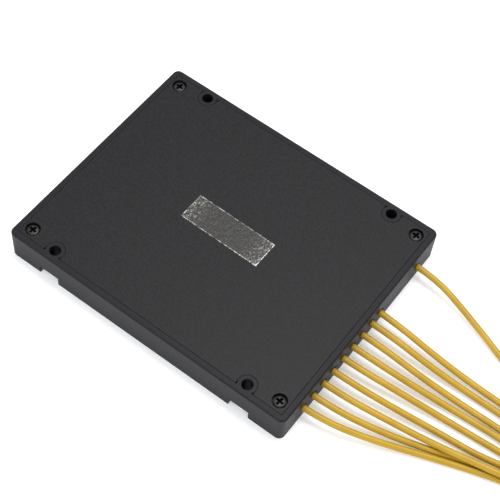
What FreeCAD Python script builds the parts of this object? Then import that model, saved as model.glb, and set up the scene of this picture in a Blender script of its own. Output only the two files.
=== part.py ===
import FreeCAD
import Part
import math
import os

Vector = FreeCAD.Vector

# Driving dimensions of the housing, in millimetres
LENGTH = 100.0
WIDTH = 80.0
HEIGHT = 11.0
CORNER_R = 2.0
RIM_R = 0.6
RIM_WALL = 2.0
LEDGE = 1.0
FLOOR = 1.8
LID_T = 2.0
LID_GAP = 0.1

# Mounting bosses, placed from the outside, and the recesses below them
MOUNT_IN_X = 15.0
MOUNT_IN_Y = 3.6
MOUNT_BOSS_R = 2.95
MOUNT_HOLE_R = 1.75
RECESS_LONG = 7.0
RECESS_HIGH = 3.2
RECESS_DEEP = 7.0
RECESS_SKIN = 1.2

# Lid screws and their posts, placed from the outside
SCREW_IN_X = 5.0
SCREW_IN_Y = 5.2
POST_R = 2.9
SCREW_HEAD_R = 1.85
SCREW_HEAD_H = 1.2
SCREW_SHANK_R = 1.0
SCREW_SHANK_L = 5.6
SCREW_CLEAR = 0.06
CROSS_LONG = 2.5
CROSS_WIDE = 0.65
CROSS_DEEP = 0.8
CROSS_TURN = -8.0
SINK_R = 2.3
SINK_DEEP = 1.5
LID_HOLE_R = 1.2

# Foil seal on the lid
SEAL_LONG = 28.0
SEAL_WIDE = 9.5
SEAL_T = 0.08
SEAL_Y = 0.8

# Cable holes: places on an even pitch, numbered from the middle, clear of the screw posts
HOLE_MARGIN = 2.5
HOLE_PLACES = (-6, -5, -4, -3, -2, -1, 0, 1, 2, 6)
HOLE_R = 1.4
HOLE_Z = 4.55
HOLE_SEAT = 0.1

# Optics in the tray
FILTERS = 8
FILTER_R = 2.5
FILTER_SIDE = 7.8
FILTER_REAR = 14.0
FILTER_FRONT = 1.0
PAD_T = 0.8
PAD_END = 2.0
PAD_MARGIN = 0.4
LOOP_R = 0.9
LOOP_SIDE = 7.5
LOOP_REAR = 2.6
LOOP_FRONT = 18.6
SLEEVES = 7
SLEEVE_R = 1.3
SLEEVE_L = 25.0
SLEEVE_PITCH = 2.9
SLEEVE_END = 14.5
ANCHOR_T = 4.0
ANCHOR_GAP = 3.0
ANCHOR_MARGIN = 2.1
ANCHOR_TOP = 5.5
ANCHOR_SEAT = 0.1
SEAT_GAP = 0.05

# Facets round the small pieces, the cables, their holes and the stored fibre
SIDES = 8
CORD_SIDES = 6
HOLE_SIDES = 12
LOOP_SIDES = 24

# How near a place or direction has to be to count as the same
NEAR = 0.01

# Pigtail cable and the bundle that its length is put away in
CABLE_R = 1.0
LANE = 2.05
LANES = 5
ROWS = 2
BUNDLE_SKIN = 0.1
COIL_LIFT = 0.7
COIL_R = 31.0
COIL_TURNS = 4
GATHER_X = 126.0
GATHER_Y = -3.0
MOUTH_RUN = 6.0
GATHER_RUN = 4.0
ENTRY_TURN = 55.0
TOP_SWEEP = 100.0
EXIT_RUN = 18.0
FACE_GAP = 0.45
TIE_ANGLES = (-30.0, 60.0, 150.0)
TIE_WIDE = 5.0
TIE_T = 0.6
TIE_GAP = 0.2

# Connectors: lengths along the cable, then heights and widths across it
BOOT_L = 15.0
BOOT_REAR_R = 1.6
BOOT_FRONT_R = 2.3
BODY_L = 11.0
BODY_W = 5.4
BODY_H = 5.6
NOSE_L = 11.0
NOSE_W = 4.5
POCKET_W = 3.2
POCKET_L = 7.0
FERRULE_R = 0.625
FERRULE_L = 8.5
CAP_R = 1.5
CAP_BORE_R = 0.75
CAP_INSIDE = 4.0
CAP_OUTSIDE = 4.0
LATCH_W = 2.2
LATCH_T = 0.9
LATCH_TOP = 5.8
LATCH_FRONT = 4.0
LATCH_KNEE = 2.2
LATCH_BACK = 1.0
TRIGGER_BACK = 2.0
CONNECTOR_X = 249.0
CONNECTOR_STAGGER = 4.0
CONNECTOR_Y = -24.0
CONNECTOR_PITCH = 6.4
LAYER_GAP = 0.1

# Pigtail routes: the turn aside at the hole's mouth, then the points along the table to the bundle
PIGTAILS = (
    (0.0, ((70, -25.2, 2.6), (84, -19.3, 1.02), (99, -14.0, 1.02), (114, -9.9, 1.2), (126, -7.1, 1.7))),
    (-0.1, ((70, -21.7, 2.6), (84, -17.05, 1.02), (99, -11.75, 1.02), (114, -7.7, 1.2), (126, -5.05, 1.7))),
    (0.0, ((70, -17.7, 3.4), (84, -15.7, 3.0), (99, -13.3, 3.2), (114, -9.9, 3.45), (126, -7.1, 3.75))),
    (0.0, ((70, -13.0, 2.6), (84, -10.8, 1.02), (99, -9.6, 1.02), (114, -6.1, 3.3), (126, -5.05, 3.75))),
    (0.2, ((70, -7.8, 2.6), (84, -6.2, 1.02), (99, -5.2, 1.02), (114, -4.2, 1.2), (126, -3.0, 1.7))),
    (-0.1, ((70, -3.7, 2.6), (84, -2.2, 1.02), (99, -1.4, 1.02), (114, -2.5, 2.9), (126, -3.0, 3.75))),
    (0.1, ((70, 0.15, 2.6), (84, 0.7, 1.02), (99, 1.0, 1.02), (114, 0.0, 1.2), (126, -0.95, 1.7))),
    (-0.15, ((70, 4.65, 2.6), (84, 5.05, 1.02), (99, 5.2, 1.02), (114, 1.6, 2.9), (126, -0.95, 3.75))),
    (-0.6, ((70, 8.4, 2.6), (84, 8.2, 1.02), (99, 8.0, 1.02), (114, 4.0, 1.2), (126, 1.1, 1.7))),
    (-0.1, ((70, 26.2, 2.6), (84, 21.6, 1.02), (99, 15.2, 1.02), (114, 6.8, 2.8), (126, 1.1, 3.75))),
)

# Place of each pigtail in the bundle: lane from the middle, then row from the table
PLACES = ((-2, 0), (-1, 0), (-2, 1), (-1, 1), (0, 0), (0, 1), (1, 0), (1, 1), (2, 0), (2, 1))

# Stations from the coil to the connectors: how far along, spread out and down each one is
TAIL_STATIONS = ((0.0, 0.0, 0.0), (0.33, 0.0, 0.0), (0.68, 1.0, 1.0), (1.0, 1.0, 1.0))
RUN_SHARE = 0.45

# Sizes that follow from the driving ones
HALF_L = LENGTH / 2
HALF_W = WIDTH / 2
LEDGE_Z = HEIGHT - LID_T
INNER_L = HALF_L - RIM_WALL - LEDGE
INNER_W = HALF_W - RIM_WALL - LEDGE
SINK_Z = HEIGHT - SINK_DEEP
MOUNT_X = HALF_L - MOUNT_IN_X
MOUNT_Y = HALF_W - MOUNT_IN_Y
SCREW_X = HALF_L - SCREW_IN_X
SCREW_Y = HALF_W - SCREW_IN_Y
HOLE_PITCH = (SCREW_Y - POST_R - HOLE_MARGIN) / max(HOLE_PLACES)
LOOP_BEND = INNER_W - LOOP_SIDE
LOOP_X0 = LOOP_REAR + LOOP_R + LOOP_BEND - INNER_L
LOOP_X1 = INNER_L - LOOP_FRONT - LOOP_R - LOOP_BEND
FILTER_X0 = LOOP_X0 - FILTER_REAR
FILTER_X1 = LOOP_X1 - FILTER_FRONT
FILTER_PITCH = 2 * (LOOP_BEND - FILTER_SIDE) / (FILTERS - 1)
SLEEVE_X = LOOP_X1 + LOOP_BEND - SLEEVE_END
ANCHOR_X = INNER_L - ANCHOR_GAP
MOUTH_Z = HOLE_Z - HOLE_R + CABLE_R + HOLE_SEAT
BUNDLE_W = (LANES - 1) * LANE + 2 * CABLE_R + 2 * BUNDLE_SKIN
LEVEL = ROWS * LANE
COIL_X = GATHER_X + GATHER_RUN + 2 * COIL_R * math.sin(math.radians(ENTRY_TURN))
COIL_Y = GATHER_Y + (2 * math.cos(math.radians(ENTRY_TURN)) - 1) * COIL_R
COIL_TOP = COIL_LIFT + COIL_TURNS * LEVEL
EXIT = Vector(COIL_X + EXIT_RUN, COIL_Y - COIL_R, COIL_TOP)
TRIGGER_RISE = BODY_L / 3
LAYER = BODY_H / 2 + LATCH_TOP + LAYER_GAP
Z_AXIS = Vector(0, 0, 1)


def corners(x, y):
    """The four mirrored places of a point."""
    return [(sx * x, sy * y) for sx in (-1, 1) for sy in (-1, 1)]


def block(x0, x1, y0, y1, z0, z1):
    """A box between two corners."""
    return Part.makeBox(x1 - x0, y1 - y0, z1 - z0, Vector(x0, y0, z0))


def post(x, y, r, z0, z1):
    """An upright cylinder."""
    return Part.makeCylinder(r, z1 - z0, Vector(x, y, z0), Z_AXIS)


def section(centre, axis, r, sides):
    """A many-sided outline across an axis."""
    turn = FreeCAD.Rotation(Z_AXIS, axis)
    step = 2 * math.pi / sides
    angles = [(i + 0.5) * step for i in range(sides)]
    points = [centre + turn.multVec(Vector(r * math.cos(a), r * math.sin(a), 0)) for a in angles]
    return points + points[:1]


def prism(start, axis, r, sides=SIDES):
    """A many-sided bar."""
    return Part.Face(Part.makePolygon(section(start, axis, r, sides))).extrude(axis)


def bore(start, axis, r):
    """A many-sided cutter whose flats clear a round of the given radius."""
    return prism(start, axis, r / math.cos(math.pi / HOLE_SIDES), HOLE_SIDES)


def tapered(start, axis, r, end_r):
    """A many-sided bar that widens along its axis."""
    near = section(start, axis, r, SIDES)
    far = section(start + axis, axis, end_r, SIDES)
    outlines = [near, far]
    for i in range(SIDES):
        outlines.append([near[i], near[i + 1], far[i + 1], far[i], near[i]])
    faces = [Part.Face(Part.makePolygon(outline)) for outline in outlines]
    return Part.Solid(Part.Shell(faces))


def slot(x0, x1, r, z0, z1):
    """A round-ended plate."""
    up = Vector(0, 0, z1 - z0)
    ends = [prism(Vector(x, 0, z0), up, r, LOOP_SIDES) for x in (x0, x1)]
    half = r * math.cos(math.pi / LOOP_SIDES)
    return block(x0, x1, -half, half, z0, z1).fuse(ends).removeSplitter()


def upright_edges(shape, x, y):
    """The vertical edges at the four corners of a box."""
    found = []
    for edge in shape.Edges:
        middle = edge.CenterOfMass
        along = edge.tangentAt(edge.FirstParameter)
        at_corner = abs(abs(middle.x) - x) < NEAR and abs(abs(middle.y) - y) < NEAR
        if at_corner and abs(along.z) > 1 - NEAR:
            found.append(edge)
    return found


def level_edges(shape, z):
    """The edges that lie at one height."""
    found = []
    for edge in shape.Edges:
        reach = edge.BoundBox
        if abs(reach.ZMin - z) < NEAR and abs(reach.ZMax - z) < NEAR:
            found.append(edge)
    return found


def outer_block():
    """The housing's outside, with round corners and a softened rim."""
    body = block(-HALF_L, HALF_L, -HALF_W, HALF_W, 0, HEIGHT)
    body = body.makeFillet(CORNER_R, upright_edges(body, HALF_L, HALF_W))
    return body.makeFillet(RIM_R, level_edges(body, HEIGHT))


def recess_block(x, y, side, grow, top):
    """The room below a mounting boss, open through the long wall."""
    half = RECESS_LONG / 2 + grow
    inner = side * (HALF_W - RECESS_DEEP - grow)
    outer = side * HALF_W
    return block(x - half, x + half, min(inner, outer), max(inner, outer), 0, top)


def base_tray():
    """The tray: ledge for the lid, screw posts, mounting bosses and cable holes."""
    tray = outer_block()
    mouth_x = HALF_L - RIM_WALL
    mouth_y = HALF_W - RIM_WALL
    room = block(-INNER_L, INNER_L, -INNER_W, INNER_W, FLOOR, LEDGE_Z)
    room = room.fuse(block(-mouth_x, mouth_x, -mouth_y, mouth_y, LEDGE_Z, HEIGHT))
    keep = []
    for x, y in corners(SCREW_X, SCREW_Y):
        keep.append(prism(Vector(x, y, FLOOR), Vector(0, 0, LEDGE_Z - FLOOR), POST_R))
    for x, y in corners(MOUNT_X, MOUNT_Y):
        side = math.copysign(1, y)
        keep.append(post(x, y, MOUNT_BOSS_R, FLOOR, HEIGHT))
        keep.append(recess_block(x, y, side, RECESS_SKIN, RECESS_HIGH + RECESS_SKIN))
    tray = tray.cut(room.cut(keep))
    holes = []
    depth = SCREW_SHANK_L - SINK_Z + LEDGE_Z + SEAT_GAP
    for x, y in corners(SCREW_X, SCREW_Y):
        start = Vector(x, y, LEDGE_Z - depth)
        holes.append(prism(start, Vector(0, 0, depth), SCREW_SHANK_R + SCREW_CLEAR))
    for x, y in corners(MOUNT_X, MOUNT_Y):
        side = math.copysign(1, y)
        holes.append(post(x, y, MOUNT_HOLE_R, 0, HEIGHT))
        holes.append(recess_block(x, y, side, 0, RECESS_HIGH))
    for place in HOLE_PLACES:
        start = Vector(INNER_L, place * HOLE_PITCH, HOLE_Z)
        holes.append(bore(start, Vector(HALF_L - INNER_L, 0, 0), HOLE_R))
    return tray.cut(holes).removeSplitter()


def lid():
    """The lid plate, notched round the mounting bosses and sunk for its screws."""
    x = HALF_L - RIM_WALL - LID_GAP
    y = HALF_W - RIM_WALL - LID_GAP
    plate = block(-x, x, -y, y, LEDGE_Z, HEIGHT)
    notch_r = MOUNT_BOSS_R + LID_GAP
    cuts = []
    for px, py in corners(MOUNT_X, MOUNT_Y):
        cuts.append(post(px, py, notch_r, LEDGE_Z, HEIGHT))
        edge = math.copysign(HALF_W, py)
        cuts.append(block(px - notch_r, px + notch_r, min(py, edge), max(py, edge), LEDGE_Z, HEIGHT))
    for px, py in corners(SCREW_X, SCREW_Y):
        cuts.append(prism(Vector(px, py, LEDGE_Z), Vector(0, 0, LID_T), LID_HOLE_R))
        cuts.append(post(px, py, SINK_R, SINK_Z, HEIGHT))
    return plate.cut(cuts).removeSplitter()


def lid_screw(x, y):
    """A cheese-head screw with a cross recess, seated in the lid's counterbore."""
    head = post(0, 0, SCREW_HEAD_R, 0, SCREW_HEAD_H)
    screw = head.fuse(prism(Vector(0, 0, -SCREW_SHANK_L), Vector(0, 0, SCREW_SHANK_L), SCREW_SHANK_R))
    long = CROSS_LONG / 2
    wide = CROSS_WIDE / 2
    low = SCREW_HEAD_H - CROSS_DEEP
    slots = [
        block(-long, long, -wide, wide, low, SCREW_HEAD_H),
        block(-wide, wide, -long, long, low, SCREW_HEAD_H),
    ]
    screw = screw.cut(slots)
    screw.rotate(Vector(0, 0, 0), Z_AXIS, CROSS_TURN)
    screw.translate(Vector(x, y, SINK_Z))
    return screw


def tamper_seal():
    """The foil sticker on the lid."""
    long = SEAL_LONG / 2
    wide = SEAL_WIDE / 2
    return block(-long, long, SEAL_Y - wide, SEAL_Y + wide, HEIGHT, HEIGHT + SEAL_T)


def filter_places():
    """The heights across the tray at which the filters lie."""
    return [(i - (FILTERS - 1) / 2) * FILTER_PITCH for i in range(FILTERS)]


def thin_film_filter(y):
    """A filter tube, laid on the pad."""
    start = Vector(FILTER_X0, y, FLOOR + PAD_T + FILTER_R + SEAT_GAP)
    return prism(start, Vector(FILTER_X1 - FILTER_X0, 0, 0), FILTER_R)


def filter_pad():
    """The adhesive pad that holds the filters to the floor."""
    reach = filter_places()[-1] + PAD_MARGIN
    return block(FILTER_X0 + PAD_END, FILTER_X1 - PAD_END, -reach, reach, FLOOR, FLOOR + PAD_T)


def fibre_loop():
    """The stored fibre: a round-ended loop on the tray's floor."""
    low = FLOOR + SEAT_GAP
    high = low + 2 * LOOP_R
    outside = slot(LOOP_X0, LOOP_X1, LOOP_BEND + LOOP_R, low, high)
    return outside.cut(slot(LOOP_X0, LOOP_X1, LOOP_BEND - LOOP_R, low, high))


def splice_sleeves():
    """The sleeves over the fibre joints, side by side."""
    sleeves = []
    for i in range(SLEEVES):
        x = SLEEVE_X + (i - (SLEEVES - 1) / 2) * SLEEVE_PITCH
        start = Vector(x, -SLEEVE_L / 2, FLOOR + SLEEVE_R + SEAT_GAP)
        sleeves.append(prism(start, Vector(0, SLEEVE_L, 0), SLEEVE_R))
    return Part.makeCompound(sleeves)


def cable_anchor():
    """The bead that holds the cable ends behind the wall."""
    reach = max(HOLE_PLACES) * HOLE_PITCH + ANCHOR_MARGIN
    return block(ANCHOR_X - ANCHOR_T, ANCHOR_X, -reach, reach, FLOOR, ANCHOR_TOP)


def cord_tube(points, radii):
    """A cable along straight runs joined by the largest tangent arcs that they leave room for."""
    points = [Vector(*p) for p in points]
    edges = []
    start = points[0]
    for before, corner, after in zip(points, points[1:], points[2:]):
        back = before - corner
        ahead = after - corner
        reach = RUN_SHARE * min(back.Length, ahead.Length)
        turn = math.pi - back.getAngle(ahead)
        radius = reach / math.tan(turn / 2)
        radii.append(radius)
        back.normalize()
        ahead.normalize()
        middle = back + ahead
        middle.normalize()
        inset = radius / math.cos(turn / 2) - radius
        leave = corner + back * reach
        join = corner + ahead * reach
        edges.append(Part.LineSegment(start, leave).toShape())
        edges.append(Part.Arc(leave, corner + middle * inset, join).toShape())
        start = join
    edges.append(Part.LineSegment(start, points[-1]).toShape())
    path = Part.Wire(edges)
    outline = Part.makePolygon(section(points[0], points[1] - points[0], CABLE_R, CORD_SIDES))
    tube = path.makePipeShell([outline], True, False)
    share = tube.Volume / (Part.Face(outline).Area * path.Length)
    return tube, path.Length, share


def lead_route(place, aside, far):
    """A route from the anchor through its hole, with its last point drawn back from the bundle's face."""
    y = place * HOLE_PITCH
    near = [Vector(ANCHOR_X + ANCHOR_SEAT, y, MOUTH_Z), Vector(HALF_L + MOUTH_RUN, y + aside, MOUTH_Z)]
    points = near + [Vector(*p) for p in far]
    back = points[-2] - points[-1]
    back.normalize()
    return points[:-1] + [points[-1] + back * FACE_GAP]


def connector_place(lane, row):
    """Where a pigtail's boot begins, on the cable's axis."""
    x = CONNECTOR_X + lane * CONNECTOR_STAGGER
    return Vector(x, CONNECTOR_Y + lane * CONNECTOR_PITCH, BODY_H / 2 + row * LAYER)


def tail_route(lane, row):
    """The stations of a pigtail between the coil and its connector."""
    start = EXIT + Vector(FACE_GAP, lane * LANE, CABLE_R + row * LANE)
    end = connector_place(lane, row)
    points = []
    for along, across, down in TAIL_STATIONS:
        x = start.x + (end.x - start.x) * along
        y = start.y + (end.y - start.y) * across
        z = start.z + (end.z - start.z) * down
        points.append((x, y, z))
    return points


def bundle_face(x, y, z0, z1):
    """The bundle's section, facing along the length."""
    half = BUNDLE_W / 2
    outline = [(y - half, z0), (y + half, z0), (y + half, z1), (y - half, z1)]
    points = [Vector(x, py, pz) for py, pz in outline]
    return Part.Face(Part.makePolygon(points + points[:1]))


def pigtail_coil():
    """The outer shape of the coil: lead-in, ring and the last turn's end."""
    low = COIL_LIFT
    middle = Vector(COIL_X, COIL_Y, 0)
    entry = bundle_face(GATHER_X, GATHER_Y, low, low + LEVEL)
    straight = entry.extrude(Vector(GATHER_RUN, 0, 0))
    entry.translate(Vector(GATHER_RUN, 0, 0))
    pivot = Vector(GATHER_X + GATHER_RUN, GATHER_Y - COIL_R, 0)
    bend = entry.revolve(pivot, Z_AXIS, -ENTRY_TURN)
    ring = bundle_face(COIL_X, COIL_Y - COIL_R, low, COIL_TOP).revolve(middle, Z_AXIS, 360)
    last = bundle_face(COIL_X, COIL_Y - COIL_R, COIL_TOP, COIL_TOP + LEVEL)
    end = last.revolve(middle, Z_AXIS, -TOP_SWEEP)
    leave = last.extrude(Vector(EXIT_RUN, 0, 0))
    return ring.fuse([straight, bend, end, leave]).removeSplitter()


def coil_tie(angle):
    """A band round the coil's turns."""
    half = BUNDLE_W / 2 + TIE_GAP
    side = half + TIE_T
    wide = TIE_WIDE / 2
    top = COIL_TOP + TIE_GAP
    band = block(COIL_R - side, COIL_R + side, -wide, wide, 0, top + TIE_T)
    band = band.cut(block(COIL_R - half, COIL_R + half, -wide, wide, TIE_T, top))
    band.rotate(Vector(0, 0, 0), Z_AXIS, angle)
    band.translate(Vector(COIL_X, COIL_Y, 0))
    return band


def boot(place):
    """The tapered strain relief behind a connector."""
    return tapered(place, Vector(BOOT_L, 0, 0), BOOT_REAR_R, BOOT_FRONT_R)


def latch_arm(points, y):
    """A springy arm: a bent strip of even thickness, cut from the side."""
    lower = [Vector(x, y - LATCH_W / 2, z) for x, z in points]
    upper = [p + Vector(0, 0, LATCH_T) for p in reversed(lower)]
    outline = lower + upper
    return Part.Face(Part.makePolygon(outline + outline[:1])).extrude(Vector(0, LATCH_W, 0))


def connector(place):
    """The plug housing: body, nose with an open pocket, latch and trigger."""
    x = place.x + BOOT_L
    y = place.y
    z = place.z
    front = x + BODY_L
    tip = front + NOSE_L
    body = block(x, front, y - BODY_W / 2, y + BODY_W / 2, z - BODY_H / 2, z + BODY_H / 2)
    nose = block(front, tip, y - NOSE_W / 2, y + NOSE_W / 2, z - NOSE_W / 2, z + NOSE_W / 2)
    half = POCKET_W / 2
    pocket = block(tip - POCKET_L, tip, y - half, y + half, z - half, z + half)
    high = z + LATCH_TOP - LATCH_T
    root = z + NOSE_W / 2 - LATCH_T / 2
    knee = (front + LATCH_KNEE, high - LATCH_T)
    latch = latch_arm([(tip - LATCH_FRONT, root), knee, (front - LATCH_BACK, high)], y)
    seat = z + BODY_H / 2 - LATCH_T / 2
    trigger = latch_arm([(x, seat), (x + TRIGGER_RISE, high), (front - TRIGGER_BACK, high)], y)
    return body.fuse([nose, latch, trigger]).cut(pocket).removeSplitter()


def ferrule(place):
    """The ceramic pin in the nose's pocket."""
    floor = place.x + BOOT_L + BODY_L + NOSE_L - POCKET_L
    return prism(Vector(floor, place.y, place.z), Vector(FERRULE_L, 0, 0), FERRULE_R)


def dust_cap(place):
    """The cap over the ferrule."""
    tip = place.x + BOOT_L + BODY_L + NOSE_L
    start = Vector(tip - CAP_INSIDE, place.y, place.z)
    cap = prism(start, Vector(CAP_INSIDE + CAP_OUTSIDE, 0, 0), CAP_R)
    bore_l = CAP_INSIDE - POCKET_L + FERRULE_L + SEAT_GAP
    return cap.cut(prism(start, Vector(bore_l, 0, 0), CAP_BORE_R))


def pigtails():
    """Each pigtail's two free stretches, with its radii and lengths printed."""
    nodes = {}
    for i, (hole, (aside, far), (lane, row)) in enumerate(zip(HOLE_PLACES, PIGTAILS, PLACES), 1):
        radii = []
        lead, lead_l, lead_share = cord_tube(lead_route(hole, aside, far), radii)
        tail, tail_l, tail_share = cord_tube(tail_route(lane, row), radii)
        nodes[f"pigtail_{i}"] = Part.makeCompound([lead, tail])
        print(f"pigtail {i}: free length {lead_l + tail_l:.1f}, smallest radius {min(radii):.1f},",
              f"volume over section times length {lead_share:.4f} {tail_share:.4f}")
    return nodes


def connectors():
    """Boot, housing and cap of each pigtail, and the ferrules together."""
    nodes = {}
    ferrules = []
    for i, (lane, row) in enumerate(PLACES, 1):
        place = connector_place(lane, row)
        nodes[f"boot_{i}"] = boot(place)
        nodes[f"connector_{i}"] = connector(place)
        nodes[f"dust_cap_{i}"] = dust_cap(place)
        ferrules.append(ferrule(place))
    nodes["ferrules"] = Part.makeCompound(ferrules)
    return nodes


def optics():
    """The pieces closed inside the tray."""
    nodes = {f"filter_{i}": thin_film_filter(y) for i, y in enumerate(filter_places(), 1)}
    nodes["filter_pad"] = filter_pad()
    nodes["fibre_loop"] = fibre_loop()
    nodes["splice_sleeves"] = splice_sleeves()
    nodes["cable_anchor"] = cable_anchor()
    return nodes


def main():
    nodes = {
        "base_tray": base_tray(),
        "lid": lid(),
        "lid_screws": Part.makeCompound([lid_screw(x, y) for x, y in corners(SCREW_X, SCREW_Y)]),
        "tamper_seal": tamper_seal(),
        "pigtail_coil": pigtail_coil(),
        "coil_ties": Part.makeCompound([coil_tie(angle) for angle in TIE_ANGLES]),
    }
    nodes.update(optics())
    nodes.update(pigtails())
    nodes.update(connectors())
    os.makedirs("parts", exist_ok=True)
    for name, shape in nodes.items():
        shape.exportStep(f"parts/{name}.step")


main()
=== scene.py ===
import math

import bmesh
import bpy
from mathutils import Matrix, Vector, noise


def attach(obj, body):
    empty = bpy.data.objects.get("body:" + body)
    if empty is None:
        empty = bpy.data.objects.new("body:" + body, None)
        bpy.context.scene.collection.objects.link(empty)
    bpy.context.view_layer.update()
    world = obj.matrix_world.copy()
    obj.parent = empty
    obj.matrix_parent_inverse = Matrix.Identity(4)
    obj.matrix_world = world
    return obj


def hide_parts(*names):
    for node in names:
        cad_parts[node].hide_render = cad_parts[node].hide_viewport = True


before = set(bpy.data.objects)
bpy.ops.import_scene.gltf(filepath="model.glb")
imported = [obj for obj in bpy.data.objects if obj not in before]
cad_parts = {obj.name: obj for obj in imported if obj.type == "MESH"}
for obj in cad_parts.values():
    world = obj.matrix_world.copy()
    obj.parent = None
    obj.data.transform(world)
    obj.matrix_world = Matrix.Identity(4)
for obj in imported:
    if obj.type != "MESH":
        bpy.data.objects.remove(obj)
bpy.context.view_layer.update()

MM = 0.001

# Camera at the photograph's angle: degrees, then millimetres, then its clipping distances in metres
CAMERA_AZIMUTH = 31.496
CAMERA_ELEVATION = 57.711
CAMERA_ROLL = 6.106
CAMERA_DISTANCE = 406.78
CAMERA_TARGET = (5.68, 5.281, 0.0)
CAMERA_LENS = 96.292
CAMERA_SENSOR = 36.0
CAMERA_NEAR = 0.01
CAMERA_FAR = 10.0

# Pigtail cable: its section and its way through the coil in millimetres
CABLE_R = 1.0
CABLE_ROUND = 5
CABLE_STEPS = 5
LANE = 2.05
ROWS = 2
LEVEL = ROWS * LANE
COIL_LIFT = 0.7
COIL_R = 31.0
COIL_TURNS = 4
GATHER_X = 126.0
GATHER_Y = -3.0
GATHER_RUN = 4.0
FULL_TURN = 360.0
QUARTER_TURN = 90.0
ENTRY_TURN = 55.0
ENTRY_POINTS = 4
TURN_POINTS = 24
CLIMB_START = 240.0
CLIMB_END = 325.0
EXIT_RUN = 18.0
FACE_GAP = 0.45
CONNECTOR_X = 249.0
CONNECTOR_STAGGER = 4.0
CONNECTOR_Y = -24.0
CONNECTOR_Z = 2.8
CONNECTOR_PITCH = 6.4
LAYER = 8.7

# Pigtail routes from the bead through the wall and along the table to the coil
PIGTAILS = (
    ((44.1, -29.6, 4.25), (56, -29.6, 4.25), (70, -25.2, 2.6), (84, -19.3, 1.02), (99, -14.0, 1.02),
     (114, -9.9, 1.2), (126, -7.1, 1.7)),
    ((44.1, -24.7, 4.25), (56, -24.75, 4.25), (70, -21.7, 2.6), (84, -17.05, 1.02), (99, -11.75, 1.02),
     (114, -7.7, 1.2), (126, -5.05, 1.7)),
    ((44.1, -19.75, 4.25), (56, -19.75, 4.25), (70, -17.7, 3.4), (84, -15.7, 3.0), (99, -12.8, 3.2),
     (114, -9.9, 3.45), (126, -7.1, 3.75)),
    ((44.1, -14.8, 4.25), (56, -14.8, 4.25), (70, -13.0, 2.6), (84, -10.8, 1.02), (99, -9.6, 1.02),
     (114, -6.1, 3.3), (126, -5.05, 3.75)),
    ((44.1, -9.7, 4.25), (56, -9.6, 4.25), (70, -7.8, 2.6), (84, -6.2, 1.02), (99, -5.2, 1.02),
     (114, -4.2, 1.2), (126, -3.0, 1.7)),
    ((44.1, -4.8, 4.25), (56, -4.8, 4.25), (70, -3.7, 2.6), (84, -2.2, 1.02), (99, -1.4, 1.02),
     (114, -2.5, 2.9), (126, -3.0, 3.75)),
    ((44.1, 0.25, 4.25), (56, 0.3, 4.25), (70, 0.15, 2.6), (84, 0.7, 1.02), (99, 1.0, 1.02),
     (114, 0.0, 1.2), (126, -0.95, 1.7)),
    ((44.1, 5.1, 4.25), (56, 5.1, 4.25), (70, 4.65, 2.6), (84, 5.05, 1.02), (99, 5.2, 1.02),
     (114, 1.6, 2.9), (126, -0.95, 3.75)),
    ((44.1, 9.6, 4.5), (56, 9.3, 4.5), (70, 8.4, 2.6), (84, 8.2, 1.02), (99, 8.0, 1.02),
     (114, 4.0, 1.2), (126, 1.1, 1.7)),
    ((44.1, 29.7, 4.5), (56, 29.9, 4.5), (70, 26.2, 2.6), (84, 21.6, 1.02), (99, 15.2, 1.02),
     (114, 6.8, 2.8), (126, 1.1, 3.75)),
)

# Place of each pigtail in the coil: lane from the middle, then row from the table
PLACES = ((-2, 0), (-1, 0), (-2, 1), (-1, 1), (0, 0), (0, 1), (1, 0), (1, 1), (2, 0), (2, 1))

# Stations from the coil to the connectors: how far along, spread out and down each one is
TAIL_STATIONS = ((0.0, 0.0, 0.0), (0.33, 0.0, 0.0), (0.68, 1.0, 1.0), (1.0, 1.0, 1.0))

# Lid screws: places, then the profile of head and shank from the axis outward, then the cross
SCREW_X = 45.0
SCREW_Y = 34.8
SCREW_Z = 9.5
SCREW_TURN = -8.0
SCREW_ROUND = 60
SCREW_CREASE = 25.0
SCREW_PROFILE = (
    (0.0, -5.6), (0.4, -5.6), (1.0, -5.0), (1.0, 0.0), (1.6, 0.0), (1.85, 0.12), (1.85, 0.8),
    (1.8, 0.93), (1.66, 1.03), (1.3, 1.12), (0.8, 1.18), (0.0, 1.2),
)
CROSS_ARMS = 4
CROSS_LONG = 2.6
CROSS_FOOT = 2.2
CROSS_WIDE = 0.82
CROSS_DEEP = 1.05
CROSS_OVER = 0.2

# Connector boots and dust caps: radius and place along the cable
END_ROUND = 32
END_CREASE = 40.0
BOOT_L = 15.0
BOOT_REAR_R = 1.62
BOOT_FRONT_R = 2.3
BOOT_CABLE_R = 1.05
BOOT_BORE = 1.0
BOOT_RIBS = 6
BOOT_RIB_START = 0.12
BOOT_RIB_END = 0.75
BOOT_GROOVE = 0.28
BOOT_GROOVE_SHARE = 0.35
CAP_START = 33.0
CAP_PROFILE = (
    (0.0, 5.55), (0.75, 5.55), (0.75, 0.0), (1.42, 0.0), (1.5, 0.1), (1.5, 4.4), (1.5, 7.5),
    (1.35, 7.85), (1.1, 8.0), (0.0, 8.0),
)

# Points of a turned piece that lie nearer than this, in metres, become one
WELD = 1e-7

# Foil seal on the lid: its sheet, then its folds
SEAL_LONG = 28.0
SEAL_WIDE = 9.5
SEAL_TURN = -0.7
SEAL_CENTRE = (0.0, 0.8, 11.0)
SEAL_STEP = 0.25
SEAL_FOOT = 0.005
SEAL_LIFT = 0.03
SEAL_CRINKLE = 0.07
SEAL_CREASE = 30.0
SEAL_BORDER = 0.45
SEAL_MOTTLE_FROM = 6.0
FOLD_SCALE = 0.5
FOLD_SEED = 3.1
FINE_FOLD_SEED = 7.7
FINE_FOLD_SHARE = 0.5

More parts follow.
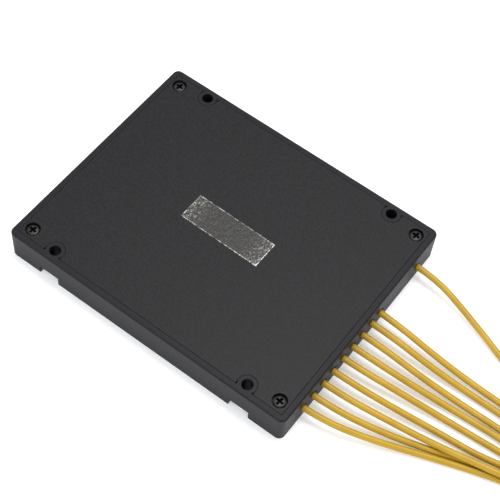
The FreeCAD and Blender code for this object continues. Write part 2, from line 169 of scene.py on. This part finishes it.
# Foil's finish: noises by scale per metre, detail and roughness, and the ranges they are spread over
FOIL_METAL = 0.6
FOIL_SHEEN = 0.41
FOIL_SPECKLE = (2200.0, 4.0, 0.7)
FOIL_PATCHES = (420.0, 4.0, 0.6)
FOIL_PATCH_RANGE = (-1.0, 1.6)
FOIL_FLECKS = (1100.0, 3.0, 0.6)
FOIL_FLECK_RANGE = (-2.0, 3.0)
FOIL_END_SHARE = 0.19
FOIL_GLOSS = (0.55, 0.35)
FOIL_BUMP = 0.6
FOIL_DEPTH = 0.04
FOIL_TINTS = (
    (0.35, (0.021, 0.021, 0.02)), (0.6, (0.047, 0.046, 0.0435)),
    (0.8, (0.2, 0.1965, 0.188)), (1.0, (0.47, 0.459, 0.441)),
)

# Grained finishes: tints, roughness, noise scales per metre, grain depth and edge radius in millimetres
TINT_FROM = 0.3
TINT_TO = 0.7
MOTTLE_DETAIL = 3.0
GRAIN_DETAIL = 2.0
GRAIN_BUMP = 0.5
GLOSS_SPREAD = 0.06
FINISHES = {
    "abs_smooth": dict(
        dark=(0.0066, 0.0067, 0.0092), light=(0.0094, 0.0095, 0.0129), roughness=0.49,
        grain=2600.0, depth=0.05, mottle=900.0, soft_edge=0.15, sheen=0.18),
    "abs_grained": dict(
        dark=(0.0018, 0.0018, 0.0025), light=(0.0135, 0.0135, 0.0156), roughness=0.455,
        grain=2600.0, depth=0.08, mottle=2600.0, soft_edge=0.15, sheen=0.188),
    "plug_blue": dict(
        dark=(0.0235, 0.141, 0.565), light=(0.029, 0.165, 0.61), roughness=0.32,
        grain=3000.0, depth=0.01, mottle=90.0, soft_edge=0.15),
    "ferrule_white": dict(
        dark=(0.82, 0.81, 0.77), light=(0.86, 0.85, 0.81), roughness=0.15, grain=5000.0, depth=0.002),
    "pad_foam": dict(
        dark=(0.5, 0.5, 0.48), light=(0.62, 0.62, 0.6), roughness=0.9, grain=1500.0, depth=0.15),
    "fibre": dict(
        dark=(0.75, 0.75, 0.7), light=(0.85, 0.85, 0.8), roughness=0.25, grain=2500.0, depth=0.03),
    "sleeve": dict(
        dark=(0.7, 0.7, 0.7), light=(0.8, 0.8, 0.8), roughness=0.2, grain=1200.0, depth=0.02),
    "bead": dict(
        dark=(0.62, 0.62, 0.56), light=(0.74, 0.74, 0.68), roughness=0.6, grain=700.0, depth=0.1),
    "black_steel": dict(
        dark=(0.0094, 0.0094, 0.01), light=(0.0165, 0.0165, 0.017), roughness=0.42,
        grain=3000.0, depth=0.02, mottle=900.0, sheen=0.376),
    # Painted shade: the screws' cross recess is near black and nearly without gloss, darker than the
    # screw's own steel
    "cross_recess_painted_shade": dict(
        dark=(0.0012, 0.0012, 0.0012), light=(0.0024, 0.0024, 0.0024), roughness=0.7,
        grain=3000.0, depth=0.02, mottle=900.0, sheen=0.06),
    "jacket_yellow": dict(
        dark=(0.39, 0.236, 0.012), light=(0.462, 0.288, 0.019), roughness=0.3,
        grain=900.0, depth=0.02, mottle=150.0, sheen=0.3),
    "boot_white": dict(
        dark=(0.7, 0.7, 0.68), light=(0.77, 0.77, 0.75), roughness=0.5,
        grain=3000.0, depth=0.02, mottle=90.0),
    "cap_white": dict(
        dark=(0.73, 0.73, 0.71), light=(0.8, 0.8, 0.78), roughness=0.35,
        grain=3000.0, depth=0.01, mottle=90.0),
}

# Drawn steel of the filter tubes
FILTERS = 8
STEEL_DARK = (0.45, 0.45, 0.45)
STEEL_LIGHT = (0.62, 0.62, 0.62)
STEEL_GLOSS = (0.2, 0.4)
STEEL_GRAIN = 900.0
STEEL_DETAIL = 4.0
STEEL_BUMP = 0.3
STEEL_DEPTH = 0.01

# Woven strap of the coil's ties
STRAP_DARK = (0.012, 0.012, 0.012)
STRAP_LIGHT = (0.059, 0.059, 0.059)
STRAP_ROUGHNESS = 0.9
WEAVE_SCALE = 2600.0
WEAVE_CREST = 0.2
WEAVE_DIP = 0.7
WEAVE_BUMP = 0.8
WEAVE_DEPTH = 0.1

# Floor: its side in metres, its drop and the rim of the painted shade below the box in millimetres, its
# finish
FLOOR_SIDE = 6.0
FLOOR_DROP = 0.05
FLOOR_PAINTED_SHADE_X = 46.5
FLOOR_OPEN_X = 48.2
FLOOR_PAINTED_SHADE_Y = 36.5
FLOOR_OPEN_Y = 38.2
FLOOR_PAINTED_SHADE = (0.0, 0.0, 0.0)
FLOOR_PALE = (0.81, 0.815, 0.832)
FLOOR_ROUGHNESS = 0.9
FLOOR_SHEEN = 0.1
FLOOR_GLOW = (0.97, 0.985, 1.0, 1.0)
FLOOR_GLOW_STRENGTH = 0.29

# Light: the white surround, then two soft lights in metres and watts
SURROUND = (1.0, 1.0, 1.0, 1.0)
SURROUND_STRENGTH = 0.95
LIGHTS = {
    "key": dict(place=(0.0, 0.25, 1.0), target=(0.02, 0.0, 0.0), size=0.4, power=6.0),
    "fill": dict(place=(-0.08, -0.4, 0.22), target=(-0.02, -0.02, 0.0), size=0.3, power=0.54),
}


def new_material(name):
    """An empty node material with its shader."""
    material = bpy.data.materials.new(name)
    material.use_nodes = True
    nodes = material.node_tree.nodes
    return material, nodes, material.node_tree.links, nodes["Principled BSDF"]


def add_noise(nodes, links, scale, detail, roughness=0.5):
    """A noise texture in the part's own frame."""
    place = nodes.new("ShaderNodeTexCoord")
    texture = nodes.new("ShaderNodeTexNoise")
    texture.inputs["Scale"].default_value = scale
    texture.inputs["Detail"].default_value = detail
    texture.inputs["Roughness"].default_value = roughness
    links.new(place.outputs["Object"], texture.inputs["Vector"])
    return texture.outputs["Fac"]


def add_ramp(nodes, links, source, stops):
    """A colour ramp over a texture's value."""
    ramp = nodes.new("ShaderNodeValToRGB")
    elements = ramp.color_ramp.elements
    while len(elements) < len(stops):
        elements.new(0.5)
    for element, (position, colour) in zip(elements, stops):
        element.position = position
        element.color = (*colour, 1.0)
    links.new(source, ramp.inputs["Fac"])
    return ramp.outputs["Color"]


def add_range(nodes, links, source, low, high):
    """A texture's value spread over a range."""
    spread = nodes.new("ShaderNodeMapRange")
    spread.inputs["To Min"].default_value = low
    spread.inputs["To Max"].default_value = high
    links.new(source, spread.inputs["Value"])
    return spread.outputs["Result"]


def add_reach(nodes, links, axis, start, end):
    """How far out along one axis a place is, from 0 at the start to 1 at the end."""
    place = nodes.new("ShaderNodeTexCoord")
    split = nodes.new("ShaderNodeSeparateXYZ")
    links.new(place.outputs["Object"], split.inputs["Vector"])
    size = nodes.new("ShaderNodeMath")
    size.operation = "ABSOLUTE"
    links.new(split.outputs[axis], size.inputs[0])
    reach = nodes.new("ShaderNodeMapRange")
    reach.interpolation_type = "SMOOTHSTEP"
    reach.inputs["From Min"].default_value = start * MM
    reach.inputs["From Max"].default_value = end * MM
    links.new(size.outputs["Value"], reach.inputs["Value"])
    return reach.outputs["Result"]


def add_math(nodes, links, operation, first, second):
    """One sum over two values, either of which may be a plain number."""
    step = nodes.new("ShaderNodeMath")
    step.operation = operation
    for socket, value in zip(step.inputs, (first, second)):
        if isinstance(value, float):
            socket.default_value = value
        else:
            links.new(value, socket)
    return step.outputs["Value"]


def add_bump(nodes, links, shader, source, strength, depth, base=None):
    """Surface relief from a texture's value, to a depth in millimetres."""
    bump = nodes.new("ShaderNodeBump")
    bump.inputs["Strength"].default_value = strength
    bump.inputs["Distance"].default_value = depth * MM
    links.new(source, bump.inputs["Height"])
    if base is not None:
        links.new(base, bump.inputs["Normal"])
    links.new(bump.outputs["Normal"], shader.inputs["Normal"])


def grained(name, dark, light, roughness, grain, depth, mottle=60.0, soft_edge=0.0, sheen=0.5):
    """A fine-grained surface with a faint mottle in colour and gloss, and softened edges."""
    material, nodes, links, shader = new_material(name)
    shader.inputs["Specular IOR Level"].default_value = sheen
    broad = add_noise(nodes, links, mottle, MOTTLE_DETAIL)
    tint = add_ramp(nodes, links, broad, ((TINT_FROM, dark), (TINT_TO, light)))
    links.new(tint, shader.inputs["Base Color"])
    fine = add_noise(nodes, links, grain, GRAIN_DETAIL)
    gloss = add_range(nodes, links, fine, roughness - GLOSS_SPREAD, roughness + GLOSS_SPREAD)
    links.new(gloss, shader.inputs["Roughness"])
    edge = None
    if soft_edge:
        bevel = nodes.new("ShaderNodeBevel")
        bevel.inputs["Radius"].default_value = soft_edge * MM
        edge = bevel.outputs["Normal"]
    add_bump(nodes, links, shader, fine, GRAIN_BUMP, depth, edge)
    return material


def finish(name):
    """One of the listed grained finishes."""
    return grained(name, **FINISHES[name])


def drawn_steel():
    """Bare metal with a drawn grain."""
    material, nodes, links, shader = new_material("tube_steel")
    shader.inputs["Metallic"].default_value = 1.0
    streak = add_noise(nodes, links, STEEL_GRAIN, STEEL_DETAIL)
    tint = add_ramp(nodes, links, streak, ((TINT_FROM, STEEL_DARK), (TINT_TO, STEEL_LIGHT)))
    links.new(tint, shader.inputs["Base Color"])
    gloss = add_range(nodes, links, streak, *STEEL_GLOSS)
    links.new(gloss, shader.inputs["Roughness"])
    add_bump(nodes, links, shader, streak, STEEL_BUMP, STEEL_DEPTH)
    return material


def foil():
    """Silver film: a dull face, mottled towards its ends, with bright worn edges."""
    material, nodes, links, shader = new_material("foil")
    shader.inputs["Metallic"].default_value = FOIL_METAL
    shader.inputs["Specular IOR Level"].default_value = FOIL_SHEEN
    speckle = add_noise(nodes, links, *FOIL_SPECKLE)
    spots = add_noise(nodes, links, *FOIL_PATCHES)
    patches = add_range(nodes, links, spots, *FOIL_PATCH_RANGE)
    flecks = add_noise(nodes, links, *FOIL_FLECKS)
    crackle = add_range(nodes, links, flecks, *FOIL_FLECK_RANGE)
    end_x = SEAL_LONG / 2
    end_y = SEAL_WIDE / 2
    ends = add_reach(nodes, links, "X", SEAL_MOTTLE_FROM, end_x)
    side_x = add_reach(nodes, links, "X", end_x - SEAL_BORDER, end_x)
    side_y = add_reach(nodes, links, "Y", end_y - SEAL_BORDER, end_y)
    border = add_math(nodes, links, "MAXIMUM", side_x, side_y)
    worn = add_math(nodes, links, "MULTIPLY", border, patches)
    cracked_ends = add_math(nodes, links, "MULTIPLY", ends, crackle)
    mottle = add_math(nodes, links, "MULTIPLY", cracked_ends, FOIL_END_SHARE)
    face = add_math(nodes, links, "ADD", speckle, mottle)
    level = add_math(nodes, links, "ADD", face, worn)
    tint = add_ramp(nodes, links, level, FOIL_TINTS)
    links.new(tint, shader.inputs["Base Color"])
    gloss = add_range(nodes, links, speckle, *FOIL_GLOSS)
    links.new(gloss, shader.inputs["Roughness"])
    add_bump(nodes, links, shader, speckle, FOIL_BUMP, FOIL_DEPTH)
    return material


def woven_strap():
    """Strap cloth: a tight weave of crossing threads."""
    material, nodes, links, shader = new_material("strap")
    shader.inputs["Roughness"].default_value = STRAP_ROUGHNESS
    place = nodes.new("ShaderNodeTexCoord")
    texture = nodes.new("ShaderNodeTexVoronoi")
    texture.inputs["Scale"].default_value = WEAVE_SCALE
    links.new(place.outputs["Object"], texture.inputs["Vector"])
    weave = texture.outputs["Distance"]
    tint = add_ramp(nodes, links, weave, ((WEAVE_CREST, STRAP_LIGHT), (WEAVE_DIP, STRAP_DARK)))
    links.new(tint, shader.inputs["Base Color"])
    add_bump(nodes, links, shader, weave, WEAVE_BUMP, WEAVE_DEPTH)
    return material


def spline_object(name, points, radius, material):
    """A round cable along one smooth spline through the part's frame."""
    curve = bpy.data.curves.new(name, "CURVE")
    curve.dimensions = "3D"
    curve.bevel_depth = radius * MM
    curve.bevel_resolution = CABLE_ROUND
    curve.resolution_u = CABLE_STEPS
    curve.use_fill_caps = True
    spline = curve.splines.new("NURBS")
    spline.points.add(len(points) - 1)
    for control, point in zip(spline.points, points):
        control.co = (*(Vector(point) * MM), 1.0)
    spline.order_u = 3
    spline.use_endpoint_u = True
    curve.materials.append(material)
    piece = bpy.data.objects.new(name, curve)
    bpy.context.scene.collection.objects.link(piece)
    return piece


def mesh_object(name, mesh, material):
    """A mesh piece in the part's frame."""
    mesh.materials.append(material)
    piece = bpy.data.objects.new(name, mesh)
    bpy.context.scene.collection.objects.link(piece)
    return piece


def finished_mesh(name, shape):
    """A mesh from a worked shape, which is freed."""
    mesh = bpy.data.meshes.new(name)
    shape.to_mesh(mesh)
    shape.free()
    return mesh


def smooth_faces(mesh, angle):
    """Smooth shading, with edges sharper than an angle left crisp."""
    mesh.set_sharp_from_angle(angle=math.radians(angle))


def lathe(name, profile, segments):
    """A mesh turned about the Z axis from radii and heights in millimetres."""
    shape = bmesh.new()
    line = [shape.verts.new((r * MM, 0.0, h * MM)) for r, h in profile]
    edges = [shape.edges.new(pair) for pair in zip(line, line[1:])]
    bmesh.ops.spin(shape, geom=line + edges, axis=(0, 0, 1), cent=(0, 0, 0),
                   angle=2 * math.pi, steps=segments)
    bmesh.ops.remove_doubles(shape, verts=shape.verts, dist=WELD)
    bmesh.ops.recalc_face_normals(shape, faces=shape.faces)
    return finished_mesh(name, shape)


def coil_centre():
    """The middle of the coil, from the bend that leads into it."""
    turn = math.radians(ENTRY_TURN)
    x = GATHER_X + GATHER_RUN + 2 * COIL_R * math.sin(turn)
    y = GATHER_Y - 2 * COIL_R + 2 * COIL_R * math.cos(turn) + COIL_R
    return Vector((x, y, 0.0))


def climb(angle):
    """How many levels up the coil a cable is after turning through an angle."""
    turns, rest = divmod(angle, FULL_TURN)
    if turns >= COIL_TURNS:
        return float(COIL_TURNS)
    share = min(max((rest - CLIMB_START) / (CLIMB_END - CLIMB_START), 0.0), 1.0)
    return turns + share * share * (3 - 2 * share)


def coil_points(lane, row):
    """A cable's way from the end of its lead through the entry bend and the turns."""
    points = []
    base = COIL_LIFT + CABLE_R + row * LANE
    step = math.radians(ENTRY_TURN / ENTRY_POINTS)
    pivot = Vector((GATHER_X + GATHER_RUN, GATHER_Y - COIL_R, base))
    radius = (COIL_R + lane * LANE) / math.cos(step / 2)
    for i in range(ENTRY_POINTS):
        turn = (i + 0.5) * step
        points.append(pivot + Vector((math.sin(turn), math.cos(turn), 0.0)) * radius)
    total = COIL_TURNS * FULL_TURN + ENTRY_TURN
    count = round(total / FULL_TURN * TURN_POINTS)
    step = total / count
    radius = (COIL_R - lane * LANE) / math.cos(math.radians(step / 2))
    middle = coil_centre()
    for i in range(count):
        angle = (i + 0.5) * step
        heading = math.radians(angle - ENTRY_TURN - QUARTER_TURN)
        rise = Vector((0.0, 0.0, base + climb(angle) * LEVEL))
        points.append(middle + Vector((math.cos(heading), math.sin(heading), 0.0)) * radius + rise)
    return points


def connector_place(lane, row):
    """Where a cable's boot begins."""
    x = CONNECTOR_X + lane * CONNECTOR_STAGGER
    return Vector((x, CONNECTOR_Y + lane * CONNECTOR_PITCH, CONNECTOR_Z + row * LAYER))


def tail_points(lane, row):
    """The stations between the coil and the connector."""
    middle = coil_centre()
    x = middle.x + EXIT_RUN + FACE_GAP
    y = middle.y - COIL_R + lane * LANE
    top = COIL_LIFT + COIL_TURNS * LEVEL
    start = Vector((x, y, top + CABLE_R + row * LANE))
    end = connector_place(lane, row)
    points = []
    for along, across, down in TAIL_STATIONS:
        share = Vector((along, across, down))
        points.append(start + (end - start) * share)
    return points


def cross_ring(shape, reach, height):
    """The outline of a cross at one height."""
    wide = CROSS_WIDE / 2
    ring = []
    for i in range(CROSS_ARMS):
        turn = Matrix.Rotation(i * math.pi / 2, 3, "Z")
        for x, y in ((reach, -wide), (reach, wide), (wide, wide)):
            ring.append(shape.verts.new(turn @ Vector((x, y, height)) * MM))
    return ring


def cross_cutter():
    """A tapered cross, the shape of a driver's tip."""
    shape = bmesh.new()
    crown = SCREW_PROFILE[-1][1]
    foot = cross_ring(shape, CROSS_FOOT / 2, crown - CROSS_DEEP)
    top = cross_ring(shape, CROSS_LONG / 2, crown + CROSS_OVER)
    shape.faces.new(reversed(foot))
    shape.faces.new(top)
    for i in range(len(top)):
        shape.faces.new((foot[i - 1], foot[i], top[i], top[i - 1]))
    return finished_mesh("cross", shape)


def screw_mesh(material, recess_painted_shade):
    """One pan-head screw with its cross cut in, the cross darkened as painted shade."""
    screw = mesh_object("screw_blank", lathe("screw_blank", SCREW_PROFILE, SCREW_ROUND), material)
    cutter = mesh_object("cross", cross_cutter(), recess_painted_shade)
    cut = screw.modifiers.new("cross", "BOOLEAN")
    cut.operation = "DIFFERENCE"
    cut.solver = "EXACT"
    # The cut faces take the cutter's near-black finish, a painted shade in the recess
    cut.material_mode = "TRANSFER"
    cut.object = cutter
    graph = bpy.context.evaluated_depsgraph_get()
    mesh = bpy.data.meshes.new_from_object(screw.evaluated_get(graph))
    bpy.data.objects.remove(screw)
    bpy.data.objects.remove(cutter)
    smooth_faces(mesh, SCREW_CREASE)
    return mesh


def lid_screws(material, recess_painted_shade):
    """The four screws as one piece."""
    shape = bmesh.new()
    screw = screw_mesh(material, recess_painted_shade)
    turn = Matrix.Rotation(math.radians(SCREW_TURN), 4, "Z")
    for sx in (-1, 1):
        for sy in (-1, 1):
            start = len(shape.verts)
            shape.from_mesh(screw)
            shape.verts.ensure_lookup_table()
            place = Matrix.Translation(Vector((sx * SCREW_X, sy * SCREW_Y, SCREW_Z)) * MM)
            bmesh.ops.transform(shape, matrix=place @ turn, verts=shape.verts[start:])
    mesh = finished_mesh("screws", shape)
    screws = mesh_object("screws", mesh, material)
    mesh.materials.append(recess_painted_shade)
    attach(screws, "root")
    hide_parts("lid_screws")


def boot_profile():
    """A tapered boot with grooves between its ribs."""
    profile = [(0.0, BOOT_BORE), (BOOT_CABLE_R, BOOT_BORE), (BOOT_CABLE_R, 0.0), (BOOT_REAR_R, 0.0)]
    span = BOOT_L * (BOOT_RIB_END - BOOT_RIB_START) / BOOT_RIBS
    for i in range(BOOT_RIBS):
        start = BOOT_L * BOOT_RIB_START + i * span
        end = start + span * BOOT_GROOVE_SHARE
        for place, depth in ((start, 0.0), (start, BOOT_GROOVE), (end, BOOT_GROOVE), (end, 0.0)):
            radius = BOOT_REAR_R + (BOOT_FRONT_R - BOOT_REAR_R) * place / BOOT_L
            profile.append((max(radius - depth, BOOT_CABLE_R), place))
    return profile + [(BOOT_FRONT_R, BOOT_L), (0.0, BOOT_L)]


def turned_end(name, node, profile, place, material):
    """A lathed piece on a cable's end, in place of its plain CAD solid."""
    mesh = lathe(name, profile, END_ROUND)
    smooth_faces(mesh, END_CREASE)
    piece = mesh_object(name, mesh, material)
    piece.matrix_world = Matrix.Translation(place * MM) @ Matrix.Rotation(math.pi / 2, 4, "Y")
    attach(piece, "root")
    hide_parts(node)
    return piece


def pigtails(material, boot_material, cap_material):
    """The ten cables, each one smooth line from the wall through the coil to its connector."""
    for i, (route, (lane, row)) in enumerate(zip(PIGTAILS, PLACES), 1):
        points = [Vector(p) for p in route] + coil_points(lane, row) + tail_points(lane, row)
        cable = spline_object(f"cable_{i}", points, CABLE_R, material)
        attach(cable, "root")
        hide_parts(f"pigtail_{i}", "pigtail_coil")
        place = connector_place(lane, row)
        cap_place = place + Vector((CAP_START, 0, 0))
        ends = [
            turned_end(f"relief_{i}", f"boot_{i}", boot_profile(), place, boot_material),
            turned_end(f"cap_{i}", f"dust_cap_{i}", CAP_PROFILE, cap_place, cap_material),
            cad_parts[f"connector_{i}"],
        ]
        if i == 1:
            ends += [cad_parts["ferrules"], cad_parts["coil_ties"]]


def seal_height(x, y):
    """How high the crinkled foil stands at a place, falling to its edges."""
    inset = min(SEAL_LONG / 2 - abs(x), SEAL_WIDE / 2 - abs(y))
    broad = abs(noise.noise(Vector((x * FOLD_SCALE, y * FOLD_SCALE, FOLD_SEED))))
    fine = abs(noise.noise(Vector((x, y, FINE_FOLD_SEED))))
    crease = broad + FINE_FOLD_SHARE * fine
    return SEAL_LIFT + SEAL_CRINKLE * crease * min(inset / SEAL_STEP, 1.0)


def tamper_seal(material):
    """The crinkled foil sticker, its edges pressed down on the lid."""
    grid = bmesh.new()
    columns = round(SEAL_LONG / SEAL_STEP)
    rows = round(SEAL_WIDE / SEAL_STEP)
    bmesh.ops.create_grid(grid, x_segments=columns, y_segments=rows, size=0.5)
    for vertex in grid.verts:
        x = vertex.co.x * SEAL_LONG
        y = vertex.co.y * SEAL_WIDE
        vertex.co = Vector((x, y, seal_height(x, y))) * MM
    rim = [edge for edge in grid.edges if edge.is_boundary]
    for item in bmesh.ops.extrude_edge_only(grid, edges=rim)["geom"]:
        if isinstance(item, bmesh.types.BMVert):
            item.co.z = SEAL_FOOT * MM
    bmesh.ops.holes_fill(grid, edges=[edge for edge in grid.edges if edge.is_boundary])
    bmesh.ops.recalc_face_normals(grid, faces=grid.faces)
    mesh = finished_mesh("seal", grid)
    smooth_faces(mesh, SEAL_CREASE)
    seal = mesh_object("seal", mesh, material)
    turn = Matrix.Rotation(math.radians(SEAL_TURN), 4, "Z")
    seal.matrix_world = Matrix.Translation(Vector(SEAL_CENTRE) * MM) @ turn
    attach(seal, "root")
    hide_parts("tamper_seal")


def dress(material, *names):
    """Gives CAD nodes a material."""
    for name in names:
        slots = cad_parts[name].data.materials
        slots.clear()
        slots.append(material)


def numbered(stem, count):
    """The names of a run of like nodes."""
    return [f"{stem}_{i}" for i in range(1, count + 1)]


def dress_nodes():
    """The finish of every CAD node that stays."""
    dress(finish("abs_smooth"), "base_tray")
    dress(finish("abs_grained"), "lid")
    dress(woven_strap(), "coil_ties")
    dress(finish("plug_blue"), *numbered("connector", len(PIGTAILS)))
    dress(finish("ferrule_white"), "ferrules")
    dress(drawn_steel(), *numbered("filter", FILTERS))
    dress(finish("pad_foam"), "filter_pad")
    dress(finish("fibre"), "fibre_loop")
    dress(finish("sleeve"), "splice_sleeves")
    dress(finish("bead"), "cable_anchor")


def camera():
    """A camera at the place that the photograph was taken from."""
    azimuth = math.radians(CAMERA_AZIMUTH)
    elevation = math.radians(CAMERA_ELEVATION)
    roll = math.radians(CAMERA_ROLL)
    flat = math.cos(elevation)
    back = Vector((math.sin(azimuth) * flat, -math.cos(azimuth) * flat, math.sin(elevation)))
    level = Vector((math.cos(azimuth), math.sin(azimuth), 0.0))
    rise = back.cross(level)
    right = level * math.cos(roll) + rise * math.sin(roll)
    up = rise * math.cos(roll) - level * math.sin(roll)
    data = bpy.data.cameras.new("camera")
    data.sensor_width = CAMERA_SENSOR
    data.lens = CAMERA_LENS
    data.clip_start = CAMERA_NEAR
    data.clip_end = CAMERA_FAR
    view = bpy.data.objects.new("camera", data)
    turn = Matrix((right, up, back)).transposed().to_4x4()
    place = Vector(CAMERA_TARGET) * MM + back * CAMERA_DISTANCE * MM
    view.matrix_world = Matrix.Translation(place) @ turn
    bpy.context.scene.collection.objects.link(view)
    bpy.context.scene.camera = view


def area_light(name, place, target, size, power):
    """A soft square light aimed at a point."""
    data = bpy.data.lights.new(name, "AREA")
    data.shape = "SQUARE"
    data.size = size
    data.energy = power
    light = bpy.data.objects.new(name, data)
    light.location = place
    light.rotation_euler = (Vector(target) - Vector(place)).to_track_quat("-Z", "Y").to_euler()
    bpy.context.scene.collection.objects.link(light)


def floor_finish():
    """A pale floor with a faint glow in the open, and painted shade below the box: black, with no glow.
    """
    material, nodes, links, shader = new_material("floor")
    open_x = add_reach(nodes, links, "X", FLOOR_PAINTED_SHADE_X, FLOOR_OPEN_X)
    open_y = add_reach(nodes, links, "Y", FLOOR_PAINTED_SHADE_Y, FLOOR_OPEN_Y)
    in_the_open = add_math(nodes, links, "MAXIMUM", open_x, open_y)
    # Painted shade: the floor turns black and stops glowing below the box, where only shade falls
    tint = add_ramp(nodes, links, in_the_open, ((0.0, FLOOR_PAINTED_SHADE), (1.0, FLOOR_PALE)))
    links.new(tint, shader.inputs["Base Color"])
    shader.inputs["Roughness"].default_value = FLOOR_ROUGHNESS
    shader.inputs["Specular IOR Level"].default_value = FLOOR_SHEEN
    shader.inputs["Emission Color"].default_value = FLOOR_GLOW
    glow = add_math(nodes, links, "MULTIPLY", in_the_open, FLOOR_GLOW_STRENGTH)
    links.new(glow, shader.inputs["Emission Strength"])
    return material


def stage():
    """A pale floor with painted shade below the box, soft light from above and a white surround."""
    bpy.ops.mesh.primitive_plane_add(size=FLOOR_SIDE, location=(0.0, 0.0, -FLOOR_DROP * MM))
    floor = bpy.context.object
    floor.name = "floor"
    floor.data.materials.append(floor_finish())
    world = bpy.data.worlds.new("surround")
    world.use_nodes = True
    bpy.context.scene.world = world
    background = world.node_tree.nodes["Background"]
    background.inputs["Color"].default_value = SURROUND
    background.inputs["Strength"].default_value = SURROUND_STRENGTH
    for name, light in LIGHTS.items():
        area_light(name, **light)
    bpy.context.scene.view_settings.view_transform = "Standard"


camera()
dress_nodes()
lid_screws(finish("black_steel"), finish("cross_recess_painted_shade"))
pigtails(finish("jacket_yellow"), finish("boot_white"), finish("cap_white"))
tamper_seal(foil())
stage()
